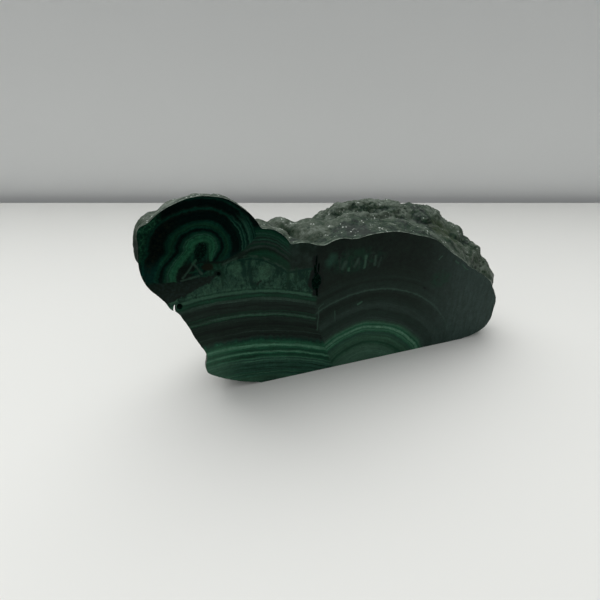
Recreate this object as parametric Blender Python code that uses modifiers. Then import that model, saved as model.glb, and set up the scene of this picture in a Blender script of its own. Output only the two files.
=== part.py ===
"""Malachite slab: a knobbly malachite nodule, sawn once through its middle and polished on the cut.

One natural piece, so one solid. Its flat cut face looks along -Y and it stands on a flat sawn
foot. The back, the top and both ends keep the stone's botryoidal skin: a round knob at the upper
left, a small lobe beside it, a saddle, a broad dome with a rough hump behind it, and a roll of
lumps down the right end.

All sizes are millimetres in the saw's frame: X along the foot's front edge, Y from the cut face
into the stone, Z up from the foot. The last step puts the origin at the bottom centre of the
bounding box.
"""

import math
import random

import bmesh
import bpy
from mathutils import Vector

MM = 0.001
NAME = "malachite_slab"

# Driving dimensions
RIM_STEPS = [(3.5, 0.0), (7.0, 1.0), (10.5, 2.4), (13.5, 4.4)]   # depth behind the cut face, inset
SAW_OVERRUN = 4.0       # stone in front of the cut face that the saw takes off
FOOT_OVERRUN = 5.0      # stone below the foot that the saw takes off
SAW_REACH = 300.0       # half length of the two boxes that the cuts remove
CORE_VOXEL = 2.0        # grain of the skin that the small lumps are placed on
SKIN_VOXEL = 1.15       # grain of the fused solid
SKIN_SMOOTHING = 3      # passes that round the creases between the lumps
SKIN_TRIANGLES = 10800  # budget of the skin before the two saw cuts

# The cut face's outline, clockwise from the notch under the knob. Each stretch starts at a
# sharp corner and is a smooth curve through its points (X, Z).
OUTLINE = {
    "knob": [(-32.9, 43.5), (-35.6, 48.5), (-39.8, 54.5), (-41.3, 61.0), (-40.2, 69.5), (-39.4, 75.8),
             (-34.6, 78.2), (-28.6, 82.3), (-21.0, 85.0), (-14.4, 84.9), (-7.4, 82.7), (-2.6, 77.9)],
    "small_lobe": [(0.9, 71.1), (6.2, 70.8), (11.2, 67.8)],
    "saddle": [(14.2, 63.5), (19.5, 63.8), (25.0, 62.0)],
    "dome": [(28.2, 61.4), (34.5, 63.4), (41.5, 62.5), (49.0, 63.5), (60.0, 63.3), (70.0, 60.6),
             (79.5, 57.4), (88.3, 50.8), (96.0, 43.9), (106.9, 37.8), (113.7, 32.6), (118.8, 25.0),
             (121.4, 15.5), (120.2, 6.6), (115.5, 2.4)],
    "foot": [(104.5, 0.0), (102.0, -FOOT_OVERRUN), (2.0, -FOOT_OVERRUN)],
    "corner": [(0.0, 0.0), (-9.7, 3.3), (-18.0, 7.5)],
    "flank": [(-22.8, 10.9), (-23.3, 14.5), (-22.3, 19.5), (-25.6, 28.5), (-29.0, 38.0), (-31.5, 42.6)],
}

# The stone behind the face, as ellipsoids: centre (X, Y, Z) and radii.
MASSES = {
    "right_body": ((60.0, 17.0, 25.0), (56.0, 33.0, 36.5)),
    "left_body": ((8.0, 14.0, 28.0), (31.0, 27.0, 33.0)),
    "neck": ((-9.0, 11.0, 45.0), (20.0, 19.0, 22.0)),
    "knob": ((-18.5, -1.0, 65.5), (22.4, 27.0, 19.2)),
    "knob_shoulder": ((-32.5, 8.0, 67.0), (9.8, 10.0, 12.2)),
    "small_lobe": ((4.0, 5.0, 56.5), (11.0, 17.0, 14.5)),
    "saddle": ((11.0, 16.0, 50.3), (11.5, 18.0, 13.8)),
    "terrace_left": ((31.0, 21.0, 51.0), (12.5, 18.0, 13.6)),
    "terrace_front": ((49.0, 8.0, 48.5), (30.0, 14.0, 15.8)),
    "terrace_back": ((46.0, 19.0, 51.0), (26.0, 13.0, 13.4)),
    "hump_left": ((54.0, 34.0, 50.0), (17.5, 14.0, 16.6)),
    "hump_crown": ((64.0, 36.0, 50.0), (15.0, 12.5, 16.4)),
    "hump_middle": ((74.0, 34.0, 50.3), (15.0, 14.0, 15.2)),
    "hump_right": ((88.0, 31.0, 48.8), (16.0, 14.0, 14.2)),
}

# Rows of lumps that follow a line: (X, Y, Z, radius) of each.
ROWS = {
    "saddle_row": [(8.2, 30.0, 58.1, 6.8), (18.8, 30.5, 56.6, 7.8)],
    "right_roll": [(93.0, 32.0, 49.0, 12.5), (101.0, 24.0, 43.0, 12.0), (107.5, 17.0, 36.0, 12.0),
                   (111.5, 11.0, 27.5, 12.0), (113.0, 8.0, 18.0, 12.0), (112.5, 8.0, 10.0, 10.0)],
    "rim_ridge": [(80.0, 34.0, 54.0, 7.0), (83.0, 25.0, 51.5, 6.0), (86.0, 14.5, 49.0, 6.0),
                  (87.5, 7.0, 45.5, 6.0)],
}

# Small lumps grown over the skin.
LUMPS_SEED = 11
LUMP_TRIES = 5000       # places tried: most fall too near a lump that is already there
LUMP_SPACING = 1.15     # least distance between two lumps, in mean radii
SKIN_START = 7.0        # how far behind the cut face the first lumps sit
LUMP_FLOOR = 1.0        # height above the foot where they begin
# Regions of the skin, first match wins: which points, the lumps' radii, the share that stands proud.
REGIONS = [
    ("far_hump", lambda p: p.z > 57 and p.y > 22 and p.x > 38, (2.8, 4.6), 0.26),
    ("terrace", lambda p: p.z > 56 and p.x > 10, (6.0, 9.0), 0.16),
    ("small_lobe", lambda p: p.z > 56 and p.x > -3, (3.5, 5.5), 0.08),
    ("knob", lambda p: p.z > 47 and p.x < 3, (5.0, 8.5), 0.14),
    ("left_flank", lambda p: p.x < -8, (3.5, 6.0), 0.12),
    ("right_end", lambda p: p.x > 88, (4.0, 6.5), 0.24),
    ("back", lambda p: True, (4.5, 11.0), 0.36),
]

# Small hollows in the cut face: (X, Z, half width, half height, depth, tilt in degrees).
PITS = [
    (24.7, 46.4, 1.4, 3.6, 2.6, 4.0),        # open vug on the crack
    (-19.9, 66.0, 1.5, 2.8, 2.0, 22.0),      # hollow heart of the knob's rings
    (-29.8, 44.6, 1.1, 1.2, 2.4, 0.0),       # hole beside the notch
]

STONE_COLOUR = (0.012, 0.075, 0.045, 1.0)
STONE_ROUGHNESS = 0.4


def vec(x, y, z):
    """A point given in millimetres, in metres."""
    return Vector((x, y, z)) * MM


def new_object(name, mesh, collection):
    obj = bpy.data.objects.new(name, mesh)
    collection.objects.link(obj)
    return obj


def evaluated_mesh(obj):
    """The object's shape after its modifiers or its curve settings, as a mesh of its own."""
    depsgraph = bpy.context.evaluated_depsgraph_get()
    return bpy.data.meshes.new_from_object(obj.evaluated_get(depsgraph))


def outline_curve():
    """The cut face's outline as a filled 2D curve: rounded inside a stretch, sharp between two."""
    curve = bpy.data.curves.new("outline", "CURVE")
    curve.dimensions = "2D"
    curve.fill_mode = "BOTH"
    curve.resolution_u = 6
    points = [(point, i == 0 or stretch == "foot") for stretch, row in OUTLINE.items()
              for i, point in enumerate(row)]
    spline = curve.splines.new("BEZIER")
    spline.bezier_points.add(len(points) - 1)
    spline.use_cyclic_u = True
    for knot, ((x, z), is_corner) in zip(spline.bezier_points, points):
        knot.co = vec(x, z, 0)
        knot.handle_left_type = knot.handle_right_type = "VECTOR" if is_corner else "AUTO"
    return curve


def rim_slab(depth, inset, collection):
    """The outline run straight back to a depth: the stone just behind the cut face."""
    curve = outline_curve()
    curve.extrude = (depth + SAW_OVERRUN) / 2 * MM
    curve.offset = -inset * MM
    curve_object = new_object("outline", curve, collection)
    curve_object.rotation_euler.x = math.pi / 2
    curve_object.location.y = (depth - SAW_OVERRUN) / 2 * MM
    bpy.context.view_layer.update()
    mesh = evaluated_mesh(curve_object)
    mesh.transform(curve_object.matrix_world)
    bpy.data.objects.remove(curve_object)
    return mesh


def add_ball(bm, centre, radii, detail=3):
    """An icosphere stretched to the three radii, added to a bmesh."""
    made = bmesh.ops.create_icosphere(bm, subdivisions=detail, radius=1.0)
    bmesh.ops.scale(bm, vec=radii, verts=made["verts"])
    bmesh.ops.translate(bm, vec=centre, verts=made["verts"])


def add_masses(bm):
    for centre, radii in MASSES.values():
        add_ball(bm, vec(*centre), vec(*radii), detail=4)
    for row in ROWS.values():
        for x, y, z, radius in row:
            add_ball(bm, vec(x, y, z), vec(radius, radius, radius))


def fuse(obj, voxel, smoothing):
    """Fuses the overlapping bodies of an object into one skin and rounds its creases."""
    remesh = obj.modifiers.new("fuse", "REMESH")
    remesh.mode = "VOXEL"
    remesh.voxel_size = voxel * MM
    remesh.use_smooth_shade = True
    smooth = obj.modifiers.new("round", "SMOOTH")
    smooth.factor = 0.5
    smooth.iterations = smoothing


def body_core(collection):
    """The stone's main forms, fused coarsely: the ground that the small lumps grow from."""
    bm = bmesh.new()
    for depth, inset in RIM_STEPS:
        bm.from_mesh(rim_slab(depth, inset, collection))
    bmesh.ops.remove_doubles(bm, verts=bm.verts, dist=0.01 * MM)
    add_masses(bm)
    mesh = bpy.data.meshes.new("core")
    bm.to_mesh(mesh)
    bm.free()
    return new_object("core", mesh, collection)


def grow_lumps(core):
    """Places for small lumps on the core's skin: (centre, radius) in metres, apart from each other."""
    fuse(core, CORE_VOXEL, smoothing=2)
    skin = evaluated_mesh(core)
    core.modifiers.clear()
    rng = random.Random(LUMPS_SEED)
    lumps = []
    for _ in range(LUMP_TRIES):
        vertex = skin.vertices[rng.randrange(len(skin.vertices))]
        size = rng.random()
        point = vertex.co / MM
        if point.y < SKIN_START or point.z < LUMP_FLOOR:
            continue
        radii, proud = next((r, s) for _, holds, r, s in REGIONS if holds(point))
        radius = (radii[0] + (radii[1] - radii[0]) * size) * MM
        centre = vertex.co - vertex.normal * radius * (1.0 - proud)
        if all((centre - c).length > LUMP_SPACING * (radius + r) / 2 for c, r in lumps):
            lumps.append((centre, radius))
    bpy.data.meshes.remove(skin)
    return lumps


def add_lumps(core):
    bm = bmesh.new()
    bm.from_mesh(core.data)
    for centre, radius in grow_lumps(core):
        add_ball(bm, centre, (radius, radius, radius))
    bm.to_mesh(core.data)
    bm.free()


def as_cutter(obj):
    """Hides an object that only serves a Boolean."""
    obj.hide_render = True
    obj.display_type = "WIRE"
    return obj


def box_cutter(name, low, high, collection):
    """A box between two corners, kept as a hidden cutter."""
    mesh = bpy.data.meshes.new(name)
    bm = bmesh.new()
    bmesh.ops.create_cube(bm, size=1.0)
    bmesh.ops.scale(bm, vec=high - low, verts=bm.verts)
    bmesh.ops.translate(bm, vec=(low + high) / 2, verts=bm.verts)
    bm.to_mesh(mesh)
    bm.free()
    return as_cutter(new_object(name, mesh, collection))


def pit_cutter(name, pit, collection):
    """A small ellipsoid half sunk in the cut face."""
    x, z, half_width, half_height, depth, tilt = pit
    mesh = bpy.data.meshes.new(name)
    bm = bmesh.new()
    add_ball(bm, Vector(), vec(half_width, depth, half_height), detail=2)
    bm.to_mesh(mesh)
    bm.free()
    cutter = new_object(name, mesh, collection)
    cutter.location = vec(x, 0, z)
    cutter.rotation_euler.y = math.radians(tilt)
    return as_cutter(cutter)


def cut(obj, cutter):
    boolean = obj.modifiers.new(cutter.name, "BOOLEAN")
    boolean.operation = "DIFFERENCE"
    boolean.object = cutter


def thin_out(obj):
    """Brings the fused skin down to its budget of triangles."""
    triangles = sum(len(p.vertices) - 2 for p in evaluated_mesh(obj).polygons)
    decimate = obj.modifiers.new("thin_out", "DECIMATE")
    decimate.ratio = min(1.0, SKIN_TRIANGLES / triangles)


def stone_material():
    material = bpy.data.materials.new("malachite")
    material.use_nodes = True
    surface = material.node_tree.nodes["Principled BSDF"]
    surface.inputs["Base Color"].default_value = STONE_COLOUR
    surface.inputs["Roughness"].default_value = STONE_ROUGHNESS
    surface.inputs["Metallic"].default_value = 0.0
    return material


def saw_cuts(stone, cutters):
    """The polished cut face at Y = 0, the foot at Z = 0, and the small hollows in the face."""
    low = vec(-SAW_REACH, -SAW_REACH, -SAW_REACH)
    cut(stone, box_cutter("face_cut", low, vec(SAW_REACH, 0, SAW_REACH), cutters))
    cut(stone, box_cutter("foot_cut", low, vec(SAW_REACH, SAW_REACH, 0), cutters))
    for number, pit in enumerate(PITS):
        cut(stone, pit_cutter(f"pit_{number}", pit, cutters))


def place_origin(stone, cutters):
    """Moves stone and cutters together, so that the stone's footprint is centred on the origin."""
    bpy.context.view_layer.update()
    points = [v.co for v in evaluated_mesh(stone).vertices]
    low = [min(p[i] for p in points) for i in range(3)]
    high = [max(p[i] for p in points) for i in range(3)]
    placing = bpy.data.objects.new("placing", None)
    bpy.context.scene.collection.objects.link(placing)
    for obj in [stone, *cutters.objects]:
        obj.parent = placing
    placing.location = (-(low[0] + high[0]) / 2, -(low[1] + high[1]) / 2, -low[2])


def main():
    for obj in list(bpy.data.objects):
        bpy.data.objects.remove(obj, do_unlink=True)
    part = bpy.data.collections.new(NAME)
    cutters = bpy.data.collections.new("cutters")
    for collection in (part, cutters):
        bpy.context.scene.collection.children.link(collection)

    stone = body_core(part)
    stone.name = stone.data.name = NAME
    add_lumps(stone)
    fuse(stone, SKIN_VOXEL, SKIN_SMOOTHING)
    thin_out(stone)
    saw_cuts(stone, cutters)
    stone.data.materials.clear()
    stone.data.materials.append(stone_material())
    place_origin(stone, cutters)


main()
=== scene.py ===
"""Looks of the malachite slab: its botryoidal skin, its polished banded face and its sawn foot.

The stone is grown again from the same named forms as the CAD solid, on a finer grain, and then
gets small nodules, grit, hollows and a crack. Shape sizes are millimetres in the saw's frame: X
along the foot's front edge, Y from the cut face into the stone, Z up from the foot. The piece's
mesh stays in that frame, and the object's location carries it to the frame of the CAD model.
"""

import math
import random
from functools import partialmethod, reduce

import bmesh
import bpy
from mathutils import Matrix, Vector, noise

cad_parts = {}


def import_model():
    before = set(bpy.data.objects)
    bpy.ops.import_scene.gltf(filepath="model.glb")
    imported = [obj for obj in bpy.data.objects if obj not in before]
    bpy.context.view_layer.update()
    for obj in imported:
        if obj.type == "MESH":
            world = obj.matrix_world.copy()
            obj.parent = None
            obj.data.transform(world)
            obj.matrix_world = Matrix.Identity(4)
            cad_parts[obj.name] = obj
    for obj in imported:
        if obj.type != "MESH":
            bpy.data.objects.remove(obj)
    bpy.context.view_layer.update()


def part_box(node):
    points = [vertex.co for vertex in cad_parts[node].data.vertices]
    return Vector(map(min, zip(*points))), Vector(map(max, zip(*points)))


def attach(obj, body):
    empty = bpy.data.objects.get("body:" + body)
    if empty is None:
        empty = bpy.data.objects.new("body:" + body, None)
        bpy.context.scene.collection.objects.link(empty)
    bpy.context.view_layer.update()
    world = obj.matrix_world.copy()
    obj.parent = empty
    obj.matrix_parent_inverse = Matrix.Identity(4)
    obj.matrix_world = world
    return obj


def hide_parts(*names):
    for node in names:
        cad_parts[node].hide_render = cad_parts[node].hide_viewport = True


MM = 0.001
NODE = "malachite_slab"

# Grain of the stone
CORE_VOXEL = 2.0        # grain of the skin that the lumps are placed on, as in the CAD model
FINE_VOXEL = 0.62       # grain of the finished skin
CREASE = 2.0            # how far the creases between lumps are rounded, in millimetres
SHARP_ANGLE = 40.0      # edges bent more than this many degrees stay sharp
FLAT = 1e-6             # how near a sawn plane a face's centre lies, in metres, to be shaded flat

RIM_STEPS = [(3.5, 0.0), (7.0, 1.0), (10.5, 2.4), (13.5, 4.4)]   # depth behind the cut face, inset
SAW_OVERRUN = 4.0       # stone in front of the cut face that the saw takes off
FOOT_OVERRUN = 5.0      # stone below the foot that the saw takes off
SAW_REACH = 300.0       # half length of the two boxes that the cuts remove

# The cut face's outline, clockwise from the notch under the knob. Each stretch starts at a
# sharp corner and is a smooth curve through its points (X, Z).
OUTLINE = {
    "knob": [(-32.9, 43.5), (-35.6, 48.5), (-39.8, 54.5), (-41.3, 61.0), (-40.2, 69.5), (-39.4, 75.8),
             (-34.6, 78.2), (-28.6, 82.3), (-21.0, 85.0), (-14.4, 84.9), (-7.4, 82.7), (-2.6, 77.9)],
    "small_lobe": [(0.9, 71.1), (6.2, 70.8), (11.2, 67.8)],
    "saddle": [(14.2, 63.5), (19.5, 63.8), (25.0, 62.0)],
    "dome": [(28.2, 61.4), (34.5, 63.4), (41.5, 62.5), (49.0, 63.5), (60.0, 63.3), (70.0, 60.6),
             (79.5, 57.4), (88.3, 50.8), (96.0, 43.9), (106.9, 37.8), (113.7, 32.6), (118.8, 25.0),
             (121.4, 15.5), (120.2, 6.6), (115.5, 2.4)],
    "foot": [(104.5, 0.0), (102.0, -FOOT_OVERRUN), (2.0, -FOOT_OVERRUN)],
    "corner": [(0.0, 0.0), (-9.7, 3.3), (-18.0, 7.5)],
    "flank": [(-22.8, 10.9), (-23.3, 14.5), (-22.3, 19.5), (-25.6, 28.5), (-29.0, 38.0), (-31.5, 42.6)],
}

# The stone behind the face, as ellipsoids: centre (X, Y, Z) and radii
MASSES = {
    "right_body": ((60.0, 17.0, 25.0), (56.0, 33.0, 36.5)),
    "left_body": ((8.0, 14.0, 28.0), (31.0, 27.0, 33.0)),
    "neck": ((-9.0, 11.0, 45.0), (20.0, 19.0, 22.0)),
    "knob": ((-18.5, -1.0, 65.5), (22.4, 27.0, 19.2)),
    "knob_shoulder": ((-32.5, 8.0, 67.0), (9.8, 10.0, 12.2)),
    "small_lobe": ((4.0, 5.0, 56.5), (11.0, 17.0, 14.5)),
    "saddle": ((11.0, 16.0, 50.3), (11.5, 18.0, 13.8)),
    "terrace_left": ((31.0, 21.0, 51.0), (12.5, 18.0, 13.6)),
    "terrace_front": ((49.0, 8.0, 48.5), (30.0, 14.0, 15.8)),
    "terrace_back": ((46.0, 19.0, 51.0), (26.0, 13.0, 13.4)),
    "hump_left": ((54.0, 34.0, 50.0), (17.5, 14.0, 16.6)),
    "hump_crown": ((64.0, 36.0, 50.0), (15.0, 12.5, 16.4)),
    "hump_middle": ((74.0, 34.0, 50.3), (15.0, 14.0, 15.2)),
    "hump_right": ((88.0, 31.0, 48.8), (16.0, 14.0, 14.2)),
}

# Rows of lumps that follow a line: (X, Y, Z, radius) of each
ROWS = {
    "saddle_row": [(8.2, 30.0, 58.1, 6.8), (18.8, 30.5, 56.6, 7.8)],
    "right_roll": [(93.0, 32.0, 49.0, 12.5), (101.0, 24.0, 43.0, 12.0), (107.5, 17.0, 36.0, 12.0),
                   (111.5, 11.0, 27.5, 12.0), (113.0, 8.0, 18.0, 12.0), (112.5, 8.0, 10.0, 10.0)],
    "rim_ridge": [(80.0, 34.0, 54.0, 7.0), (83.0, 25.0, 51.5, 6.0), (86.0, 14.5, 49.0, 6.0),
                  (87.5, 7.0, 45.5, 6.0)],
}

# Lumps grown over the skin, as in the CAD model
LUMPS_SEED = 11
LUMP_TRIES = 5000       # places tried: most fall too near a lump that is already there
LUMP_SPACING = 1.15     # least distance between two lumps, in mean radii
SKIN_START = 7.0        # how far behind the cut face the first lumps sit
LUMP_FLOOR = 1.0        # height above the foot where they begin
# Regions of the skin, first match wins: which points, the lumps' radii, the share that stands proud
REGIONS = [
    ("far_hump", lambda p: p.z > 57 and p.y > 22 and p.x > 38, (2.8, 4.6), 0.26),
    ("terrace", lambda p: p.z > 56 and p.x > 10, (6.0, 9.0), 0.16),
    ("small_lobe", lambda p: p.z > 56 and p.x > -3, (3.5, 5.5), 0.08),
    ("knob", lambda p: p.z > 47 and p.x < 3, (5.0, 8.5), 0.14),
    ("left_flank", lambda p: p.x < -8, (3.5, 6.0), 0.12),
    ("right_end", lambda p: p.x > 88, (4.0, 6.5), 0.24),
    ("back", lambda p: True, (4.5, 11.0), 0.36),
]

# The skin's fine relief, in millimetres. A height of three numbers is the height on most of the
# skin, how much less it is where the skin is smooth, and how much more on the far hump.
RELIEF_SEED = 5         # sets how the small nodules are bent
WAVE_SIZE = 9.0
WAVE_HEIGHT = 0.45
BEND_SIZE = 6.0
BEND = 3.0              # how far the nodules are bent out of round
SWELL_SLOPE = 2.2       # how narrow the creases between nodules are
SWELL_POWER = 0.6       # how flat their crowns are: 1 is a cone, 0 is a disc
SUNK = 0.7              # share of a nodule's height that stays below the skin
NODULE_SIZE = 5.2
NODULE_HEIGHT = (0.50, 0.34, 0.0)
SMALL_NODULE_SIZE = 2.6
SMALL_NODULE_HEIGHT = (0.24, 0.16, 0.10)
CRINKLE_SIZE = 3.1
CRINKLE_HEIGHT = (0.30, 0.0, 0.20)
GRIT_HEIGHT = (0.12, 0.0, 0.10)
LEDGE_Y = 25.4          # the terrace's back edge, where a crest stands with a groove behind it
LEDGE_WANDER = 1.6
CREST_HEIGHT = 0.7
CREST_HALF_WIDTH = 2.2
GROOVE_DEPTH = 1.5
GROOVE_HALF_WIDTH = 3.2
GROOVE_BEHIND = 3.6     # from the crest to the groove

# Small hollows in the cut face: (X, Z, half width, half height, depth, tilt in degrees)
PITS = [
    (24.8, 55.2, 0.35, 2.6, 1.4, 3.0),       # the crack, from its top down
    (24.3, 51.4, 0.55, 2.4, 1.8, -5.0),
    (25.8, 52.0, 0.35, 2.4, 1.2, 2.0),
    (24.9, 46.0, 2.0, 3.7, 2.8, 4.0),        # open vug on the crack
    (25.2, 41.4, 0.45, 2.8, 1.6, -3.0),
    (-19.8, 65.4, 2.1, 3.8, 2.2, 22.0),      # hollow heart of the knob's rings
    (-29.8, 44.6, 1.1, 1.2, 2.4, 0.0),       # hole beside the notch
    (-31.7, 43.9, 0.45, 1.9, 7.0, 12.0),     # the notch's cleft
    (-14.1, 55.7, 0.7, 0.9, 1.2, 0.0),       # pinhole between the fan and the needles
]

PIT_WAVES = 0.22        # how uneven a hollow's wall is, as a share of its radius
PIT_GRIT = 0.12         # and how rough, on a finer scale

STONE_RIGHT = 125.384   # X where the CAD solid ends on the right, in the saw's frame

# Camera: where it stands in the saw's frame, how far it looks down, and how far it is turned to
# the right of the face's normal, in degrees.
CAMERA_PLACE = (-32.6, -147.2, 126.0)
CAMERA_DOWN = 29.3
CAMERA_TURN = 18.909
CAMERA_LENS = 25.98     # millimetres, for an image as wide as the sensor
SENSOR = 36.0

# The table and the wall, in millimetres ahead of the camera
TABLE_NEAR = 38.0
TABLE_FAR = 421.0
WALL_GAP = 14.0
WALL_FOOT = -60.0
WALL_TOP = 260.0
TABLE_HALF_WIDTH = 900.0
TABLE_COLOUR = (0.80, 0.80, 0.77)
TABLE_ROUGHNESS = 0.75
WALL_COLOUR = (0.86, 0.87, 0.86)
WALL_ROUGHNESS = 0.9
STAGE_SPECULAR = 0.2

# Light: the room's own above and below the horizon, and a wide lamp behind the stone, in metres
WORLD_COLOUR = (0.97, 0.99, 1.0)
WORLD_ABOVE = 0.44
WORLD_BELOW = 0.04
HORIZON = (-0.05, 0.15)     # sines of the heights between which the one turns into the other
KEY_PLACE = (-0.04, 0.68, 1.05)
KEY_TARGET = (0.02, 0.0, 0.0)
KEY_SIZE = 1.8
KEY_POWER = 23.0


def vec(x, y, z):
    """A point given in millimetres, in metres."""
    return Vector((x, y, z)) * MM


def new_object(name, data):
    """A new object in the scene, holding a mesh, a curve, a lamp or a camera."""
    obj = bpy.data.objects.new(name, data)
    bpy.context.scene.collection.objects.link(obj)
    return obj


def mesh_from(name, bm):
    """A mesh of a bmesh, which is freed."""
    mesh = bpy.data.meshes.new(name)
    bm.to_mesh(mesh)
    bm.free()
    return mesh


def evaluated_mesh(obj):
    """The object's shape after its modifiers or its curve settings, as a mesh of its own."""
    depsgraph = bpy.context.evaluated_depsgraph_get()
    return bpy.data.meshes.new_from_object(obj.evaluated_get(depsgraph))


def settle(obj):
    """Applies all of an object's modifiers."""
    mesh = evaluated_mesh(obj)
    obj.modifiers.clear()
    obj.data = mesh


# ---- the stone's form

def outline_curve():
    """The cut face's outline as a filled 2D curve: rounded inside a stretch, sharp between two."""
    curve = bpy.data.curves.new("outline", "CURVE")
    curve.dimensions = "2D"
    curve.fill_mode = "BOTH"
    curve.resolution_u = 6
    points = [(point, i == 0 or stretch == "foot") for stretch, row in OUTLINE.items()
              for i, point in enumerate(row)]
    spline = curve.splines.new("BEZIER")
    spline.bezier_points.add(len(points) - 1)
    spline.use_cyclic_u = True
    for knot, ((x, z), is_corner) in zip(spline.bezier_points, points):
        knot.co = vec(x, z, 0)
        knot.handle_left_type = knot.handle_right_type = "VECTOR" if is_corner else "AUTO"
    return curve


def rim_slab(depth, inset):
    """The outline run straight back to a depth: the stone just behind the cut face."""
    curve = outline_curve()
    curve.extrude = (depth + SAW_OVERRUN) / 2 * MM
    curve.offset = -inset * MM
    slab = new_object("outline", curve)
    slab.rotation_euler.x = math.pi / 2
    slab.location.y = (depth - SAW_OVERRUN) / 2 * MM
    bpy.context.view_layer.update()
    mesh = evaluated_mesh(slab)
    mesh.transform(slab.matrix_world)
    bpy.data.objects.remove(slab)
    return mesh


def add_ball(bm, centre, radii, detail=3):
    """An icosphere stretched to the three radii, added to a bmesh."""
    made = bmesh.ops.create_icosphere(bm, subdivisions=detail, radius=1.0)
    bmesh.ops.scale(bm, vec=radii, verts=made["verts"])
    bmesh.ops.translate(bm, vec=centre, verts=made["verts"])


def add_masses(bm):
    """Adds the stone's big ellipsoids and its rows of lumps to a bmesh."""
    for centre, radii in MASSES.values():
        add_ball(bm, vec(*centre), vec(*radii), detail=4)
    for row in ROWS.values():
        for x, y, z, radius in row:
            add_ball(bm, vec(x, y, z), vec(radius, radius, radius))


def fuse(obj, voxel, smoothing):
    """Fuses the overlapping bodies of an object into one skin and rounds its creases."""
    remesh = obj.modifiers.new("fuse", "REMESH")
    remesh.mode = "VOXEL"
    remesh.voxel_size = voxel * MM
    remesh.use_smooth_shade = True
    smooth = obj.modifiers.new("round", "SMOOTH")
    smooth.factor = 0.5
    smooth.iterations = smoothing


def body_core():
    """The stone's main forms: the ground that the lumps grow from."""
    bm = bmesh.new()
    for depth, inset in RIM_STEPS:
        bm.from_mesh(rim_slab(depth, inset))
    bmesh.ops.remove_doubles(bm, verts=bm.verts, dist=0.01 * MM)
    add_masses(bm)
    return new_object(NODE, mesh_from(NODE, bm))


def grow_lumps(core):
    """Places for lumps on the core's skin: (centre, radius) in metres, apart from each other."""
    fuse(core, CORE_VOXEL, smoothing=2)
    skin = evaluated_mesh(core)
    core.modifiers.clear()
    rng = random.Random(LUMPS_SEED)
    lumps = []
    for _ in range(LUMP_TRIES):
        vertex = skin.vertices[rng.randrange(len(skin.vertices))]
        size = rng.random()
        point = vertex.co / MM
        if point.y < SKIN_START or point.z < LUMP_FLOOR:
            continue
        radii, proud = next((r, s) for _, holds, r, s in REGIONS if holds(point))
        radius = (radii[0] + (radii[1] - radii[0]) * size) * MM
        centre = vertex.co - vertex.normal * radius * (1.0 - proud)
        if all((centre - c).length > LUMP_SPACING * (radius + r) / 2 for c, r in lumps):
            lumps.append((centre, radius))
    bpy.data.meshes.remove(skin)
    return lumps


def add_lumps(core):
    """Adds a ball for each grown lump to the core."""
    bm = bmesh.new()
    bm.from_mesh(core.data)
    for centre, radius in grow_lumps(core):
        add_ball(bm, centre, (radius, radius, radius))
    bm.to_mesh(core.data)
    bm.free()


def cut(obj, cutter, material):
    """Takes the cutter's space out of the object and lines the cut with a material."""
    cutter.data.materials.append(material)
    boolean = obj.modifiers.new(cutter.name, "BOOLEAN")
    boolean.operation = "DIFFERENCE"
    boolean.solver = "MANIFOLD"
    boolean.object = cutter
    boolean.material_mode = "TRANSFER"
    settle(obj)
    bpy.data.objects.remove(cutter)


def box_cutter(name, low, high):
    """A box between two corners, to cut with."""
    bm = bmesh.new()
    bmesh.ops.create_cube(bm, size=1.0)
    bmesh.ops.scale(bm, vec=high - low, verts=bm.verts)
    bmesh.ops.translate(bm, vec=(low + high) / 2, verts=bm.verts)
    return new_object(name, mesh_from(name, bm))


def swell(p, size, seed):
    """Rounded nodules packed side by side: 1 on a nodule's crown, 0 in the crease between two."""
    near, far = noise.voronoi(p / size + Vector((seed, 0.0, 0.0)))[0][:2]
    return min(1.0, (far - near) * SWELL_SLOPE) ** SWELL_POWER


def step(value, low, high):
    """0 below low, 1 above high, smooth between."""
    share = min(1.0, max(0.0, (value - low) / (high - low)))
    return share * share * (3.0 - 2.0 * share)


def bump(value, half_width):
    """1 at zero, falling smoothly to 0 at half a width to either side."""
    return max(0.0, 1.0 - (value / half_width) ** 2) ** 2


def ledge_relief(p):
    """The crest along the terrace's back edge and the groove behind it, in millimetres."""
    reach = step(p.x, 40.0, 45.0) * step(p.x, 74.0, 68.0) * step(p.z, 55.0, 59.0)
    behind = p.y - LEDGE_Y - noise.noise(p / 5.0) * LEDGE_WANDER
    crest = CREST_HEIGHT * bump(behind, CREST_HALF_WIDTH)
    return reach * (crest - GROOVE_DEPTH * bump(behind - GROOVE_BEHIND, GROOVE_HALF_WIDTH))


def height_at(height, smooth, hump):
    """The height of one kind of relief, where the skin is smooth or the far hump's by these shares."""
    most, less, more = height
    return most - less * smooth + more * hump


def skin_relief(p):
    """How far the skin stands out at a point, in millimetres: most on the far hump, least by the cut."""
    behind = step(p.y, 0.3, 5.0)
    hump = step(p.z, 50.0, 56.0) * step(p.y, 20.0, 26.0) * step(p.x, 34.0, 44.0)
    smooth = step(p.z, 46.0, 54.0) * (1.0 - hump)
    bent = p + noise.noise_vector(p / BEND_SIZE) * BEND
    large = noise.noise(p / WAVE_SIZE) * WAVE_HEIGHT
    nodules = (swell(bent, NODULE_SIZE, 0.0) - SUNK) * height_at(NODULE_HEIGHT, smooth, hump)
    small = (swell(bent, SMALL_NODULE_SIZE, 7.0) - SUNK) * height_at(SMALL_NODULE_HEIGHT, smooth, hump)
    ridges = 0.22 - abs(noise.noise(bent / CRINKLE_SIZE))
    crinkles = ridges * height_at(CRINKLE_HEIGHT, smooth, hump)
    grit = noise.fractal(p * 0.9, 0.6, 2.2, 3) * height_at(GRIT_HEIGHT, smooth, hump)
    fine = (large + crinkles) * behind + nodules + small + grit
    return (0.40 + 0.60 * behind) * fine + ledge_relief(p)


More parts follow.
